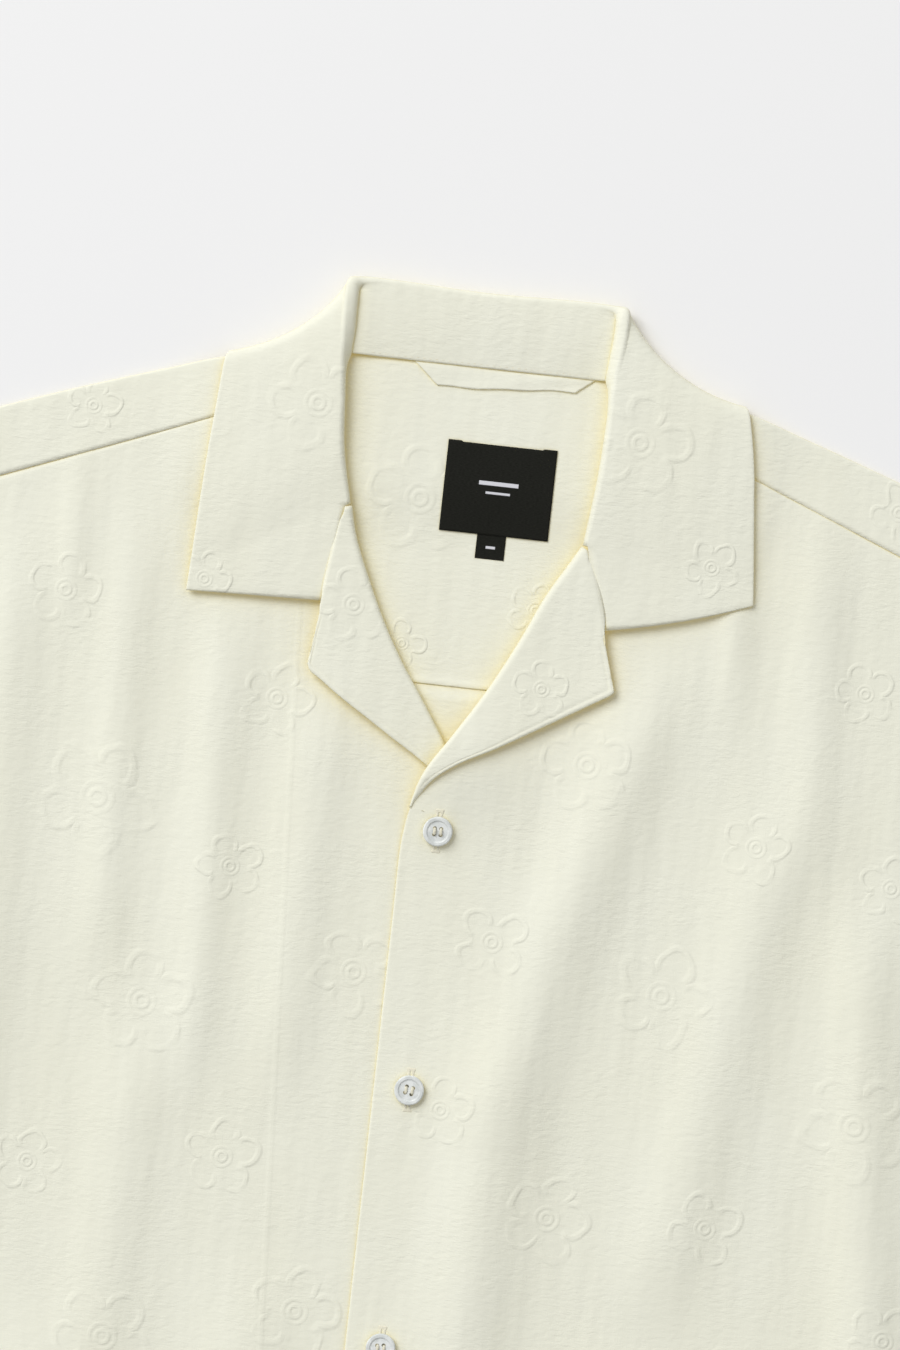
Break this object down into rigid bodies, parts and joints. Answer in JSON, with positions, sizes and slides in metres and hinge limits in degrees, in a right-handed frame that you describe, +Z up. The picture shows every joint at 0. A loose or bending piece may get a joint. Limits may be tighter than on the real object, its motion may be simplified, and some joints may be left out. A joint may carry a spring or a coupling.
{
  "type": "camp collar shirt",
  "caption": "Cream short-sleeved camp collar shirt with turned lapels and a buttoned front, laid flat on its back.",
  "frame": {"origin": "bottom centre of the bounding box, on the surface the shirt lies on", "axes": "+X towards the wearer's left sleeve, +Y towards the collar, +Z up out of the surface"},
  "size_m": [0.8306, 0.7012, 0.0118],
  "materials": {
    "body_cloth": "matte crepe, embossed flowers",
    "collar_cloth": "matte crepe, embossed flowers",
    "label_cloth": "woven label",
    "button_resin": "pearly, satin"
  },
  "bodies": {
    "root": {"back": "body_cloth", "button_1": "button_resin", "button_2": "button_resin", "button_3": "button_resin", "button_4": "button_resin", "collar_under": "collar_cloth", "collar_upper": "collar_cloth", "facing_left": "collar_cloth", "facing_right": "collar_cloth", "front_left": "body_cloth", "front_right": "body_cloth", "hanger_loop": "collar_cloth", "neck_label": "label_cloth", "size_tag": "label_cloth", "sleeve_left": "body_cloth", "sleeve_right": "body_cloth", "yoke": "body_cloth"}
  },
  "joints": []
}
